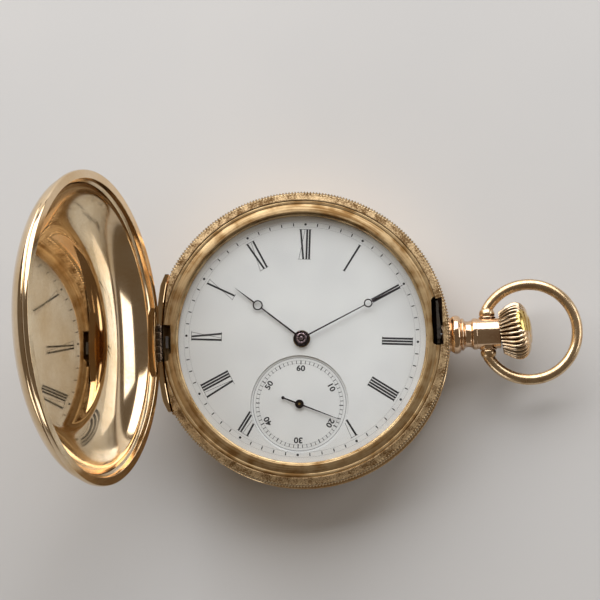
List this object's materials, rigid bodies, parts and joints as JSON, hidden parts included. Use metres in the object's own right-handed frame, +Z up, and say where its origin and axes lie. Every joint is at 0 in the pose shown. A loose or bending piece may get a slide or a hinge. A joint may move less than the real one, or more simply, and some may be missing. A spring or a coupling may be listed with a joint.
{
  "type": "full hunter pocket watch",
  "caption": "Key-wound full hunter pocket watch with a hinged front lid, white enamel dial with sunk seconds, pendant, bow and push crown.",
  "frame": {"origin": "middle of the flat on the back cover, where the watch lies", "axes": "+Z up through the dial, +X to the pendant and bow, +Y to the 12 o'clock side"},
  "size_m": [0.0948, 0.054, 0.0633],
  "materials": {
    "yellow_gold": "polished",
    "rose_gold": "polished",
    "satin_gold": "satin",
    "polished_steel": "polished",
    "blued_steel": "satin",
    "gilt_brass": "satin",
    "enamel": "gloss",
    "crystal_glass": "polished",
    "ruby": "gloss"
  },
  "bodies": {
    "case": {"case_middle": "satin_gold", "bezel": "yellow_gold", "crystal": "crystal_glass", "lid_hinge_pin": "polished_steel", "back_hinge_pin": "polished_steel", "dust_cover_pin": "polished_steel", "pendant": "rose_gold", "lift_spring": "polished_steel", "case_spring_screws": "polished_steel", "dial": "enamel", "seconds_dial": "enamel", "main_plate": "gilt_brass", "barrel_bridge": "gilt_brass", "train_bridge": "gilt_brass", "pallet_cock": "gilt_brass", "balance_cock": "gilt_brass", "hairspring": "blued_steel", "hairspring_stud": "polished_steel", "click_screw": "polished_steel", "click_spring": "polished_steel", "jewels": "ruby", "bridge_screws": "polished_steel", "movement_screws": "polished_steel"},
    "lid": {"front_lid": "yellow_gold"},
    "back": {"back_cover": "yellow_gold"},
    "dust": {"dust_cover": "yellow_gold"},
    "bow": {"bow": "yellow_gold"},
    "crown": {"push_crown": "yellow_gold", "push_stem": "polished_steel"},
    "catch": {"lock_spring": "polished_steel"},
    "minute": {"minute_hand": "blued_steel", "cannon_pinion": "polished_steel", "setting_arbor": "polished_steel"},
    "minute_work": {"minute_wheel": "gilt_brass"},
    "hour": {"hour_wheel": "gilt_brass", "hour_hand": "blued_steel"},
    "seconds": {"fourth_wheel": "gilt_brass", "seconds_hand": "blued_steel"},
    "third": {"third_wheel": "gilt_brass"},
    "centre": {"centre_wheel": "gilt_brass"},
    "barrel": {"barrel": "gilt_brass", "barrel_lid": "gilt_brass", "mainspring": "polished_steel"},
    "winding": {"barrel_arbor": "polished_steel", "ratchet_wheel": "polished_steel"},
    "click": {"click": "polished_steel"},
    "escape": {"escape_wheel": "polished_steel"},
    "lever": {"pallet_fork": "polished_steel", "pallet_stones": "ruby"},
    "balance": {"balance_wheel": "gilt_brass", "balance_screws": "gilt_brass", "roller_table": "polished_steel"},
    "regulator": {"regulator": "polished_steel"}
  },
  "joints": [
    {"name": "lid_hinge", "type": "hinge", "parent": "case", "child": "lid", "pos_m": [-0.02595, 0, 0.01232], "axis": [0, 1, 0], "range_deg": [0, 105]},
    {"name": "back_hinge", "type": "hinge", "parent": "case", "child": "back", "pos_m": [-0.02595, 0, 0.00298], "axis": [0, 1, 0], "range_deg": [0, 105]},
    {"name": "dust_cover_hinge", "type": "hinge", "parent": "case", "child": "dust", "pos_m": [-0.0235, 0, 0.00345], "axis": [0, 1, 0], "range_deg": [0, 95]},
    {"name": "bow_pivot", "type": "hinge", "parent": "case", "child": "bow", "pos_m": [0.0338, 0, 0.00765], "axis": [0, 1, 0], "range_deg": [-90, 90]},
    {"name": "crown_push", "type": "slide", "parent": "case", "child": "crown", "axis": [-1, 0, 0], "range_m": [0, 0.0006], "stiffness_N_per_m": 3000},
    {"name": "catch_flex", "type": "hinge", "parent": "case", "child": "catch", "pos_m": [0.00732, -0.02254, 0.00765], "axis": [0, 0, 1], "range_deg": [0, 1.2]},
    {"name": "hand_setting", "type": "hinge", "parent": "case", "child": "minute", "pos_m": [0, 0, 0.0102], "axis": [0, 0, 1], "continuous": true},
    {"name": "minute_wheel_turn", "type": "hinge", "parent": "case", "child": "minute_work", "pos_m": [-0.00399, 0.00266, 0.0086], "axis": [0, 0, 1], "continuous": true},
    {"name": "hour_turn", "type": "hinge", "parent": "case", "child": "hour", "pos_m": [0, 0, 0.0102], "axis": [0, 0, 1], "continuous": true},
    {"name": "seconds_turn", "type": "hinge", "parent": "case", "child": "seconds", "pos_m": [-0.00077, -0.01188, 0.0074], "axis": [0, 0, 1], "continuous": true},
    {"name": "third_turn", "type": "hinge", "parent": "case", "child": "third", "pos_m": [0.00433, -0.00737, 0.0074], "axis": [0, 0, 1], "continuous": true},
    {"name": "centre_turn", "type": "hinge", "parent": "case", "child": "centre", "pos_m": [0, 0, 0.0074], "axis": [0, 0, 1], "continuous": true},
    {"name": "barrel_turn", "type": "hinge", "parent": "case", "child": "barrel", "pos_m": [0.00641, 0.00801, 0.0074], "axis": [0, 0, 1], "continuous": true},
    {"name": "escape_turn", "type": "hinge", "parent": "case", "child": "escape", "pos_m": [-0.00605, -0.01342, 0.0074], "axis": [0, 0, 1], "continuous": true},
    {"name": "winding_turn", "type": "hinge", "parent": "case", "child": "winding", "pos_m": [0.00641, 0.00801, 0.0045], "axis": [0, 0, 1], "range_deg": [0, 1080], "deforming": ["mainspring"]},
    {"name": "click_lift", "type": "hinge", "parent": "case", "child": "click", "pos_m": [0.00831, 0.0136, 0.0045], "axis": [0, 0, 1], "range_deg": [0, 12]},
    {"name": "lever_swing", "type": "hinge", "parent": "case", "child": "lever", "pos_m": [-0.00967, -0.01101, 0.0074], "axis": [0, 0, 1], "range_deg": [-5, 5]},
    {"name": "balance_swing", "type": "hinge", "parent": "case", "child": "balance", "pos_m": [-0.01184, -0.00661, 0.0074], "axis": [0, 0, 1], "range_deg": [-270, 270], "deforming": ["hairspring"]},
    {"name": "regulator_turn", "type": "hinge", "parent": "case", "child": "regulator", "pos_m": [-0.01184, -0.00661, 0.0045], "axis": [0, 0, 1], "range_deg": [-20, 20]}
  ],
  "couplings": [
    {"joint": "dust_cover_hinge", "follows": "back_hinge", "ratio": 0.9},
    {"joint": "catch_flex", "follows": "crown_push", "rad_per_m": 34},
    {"joint": "minute_wheel_turn", "follows": "hand_setting", "ratio": -0.33333},
    {"joint": "hour_turn", "follows": "hand_setting", "ratio": 0.083333},
    {"joint": "third_turn", "follows": "seconds_turn", "ratio": -0.13333},
    {"joint": "centre_turn", "follows": "seconds_turn", "ratio": 0.016667},
    {"joint": "barrel_turn", "follows": "seconds_turn", "ratio": -0.0020833},
    {"joint": "escape_turn", "follows": "seconds_turn", "ratio": -10}
  ]
}
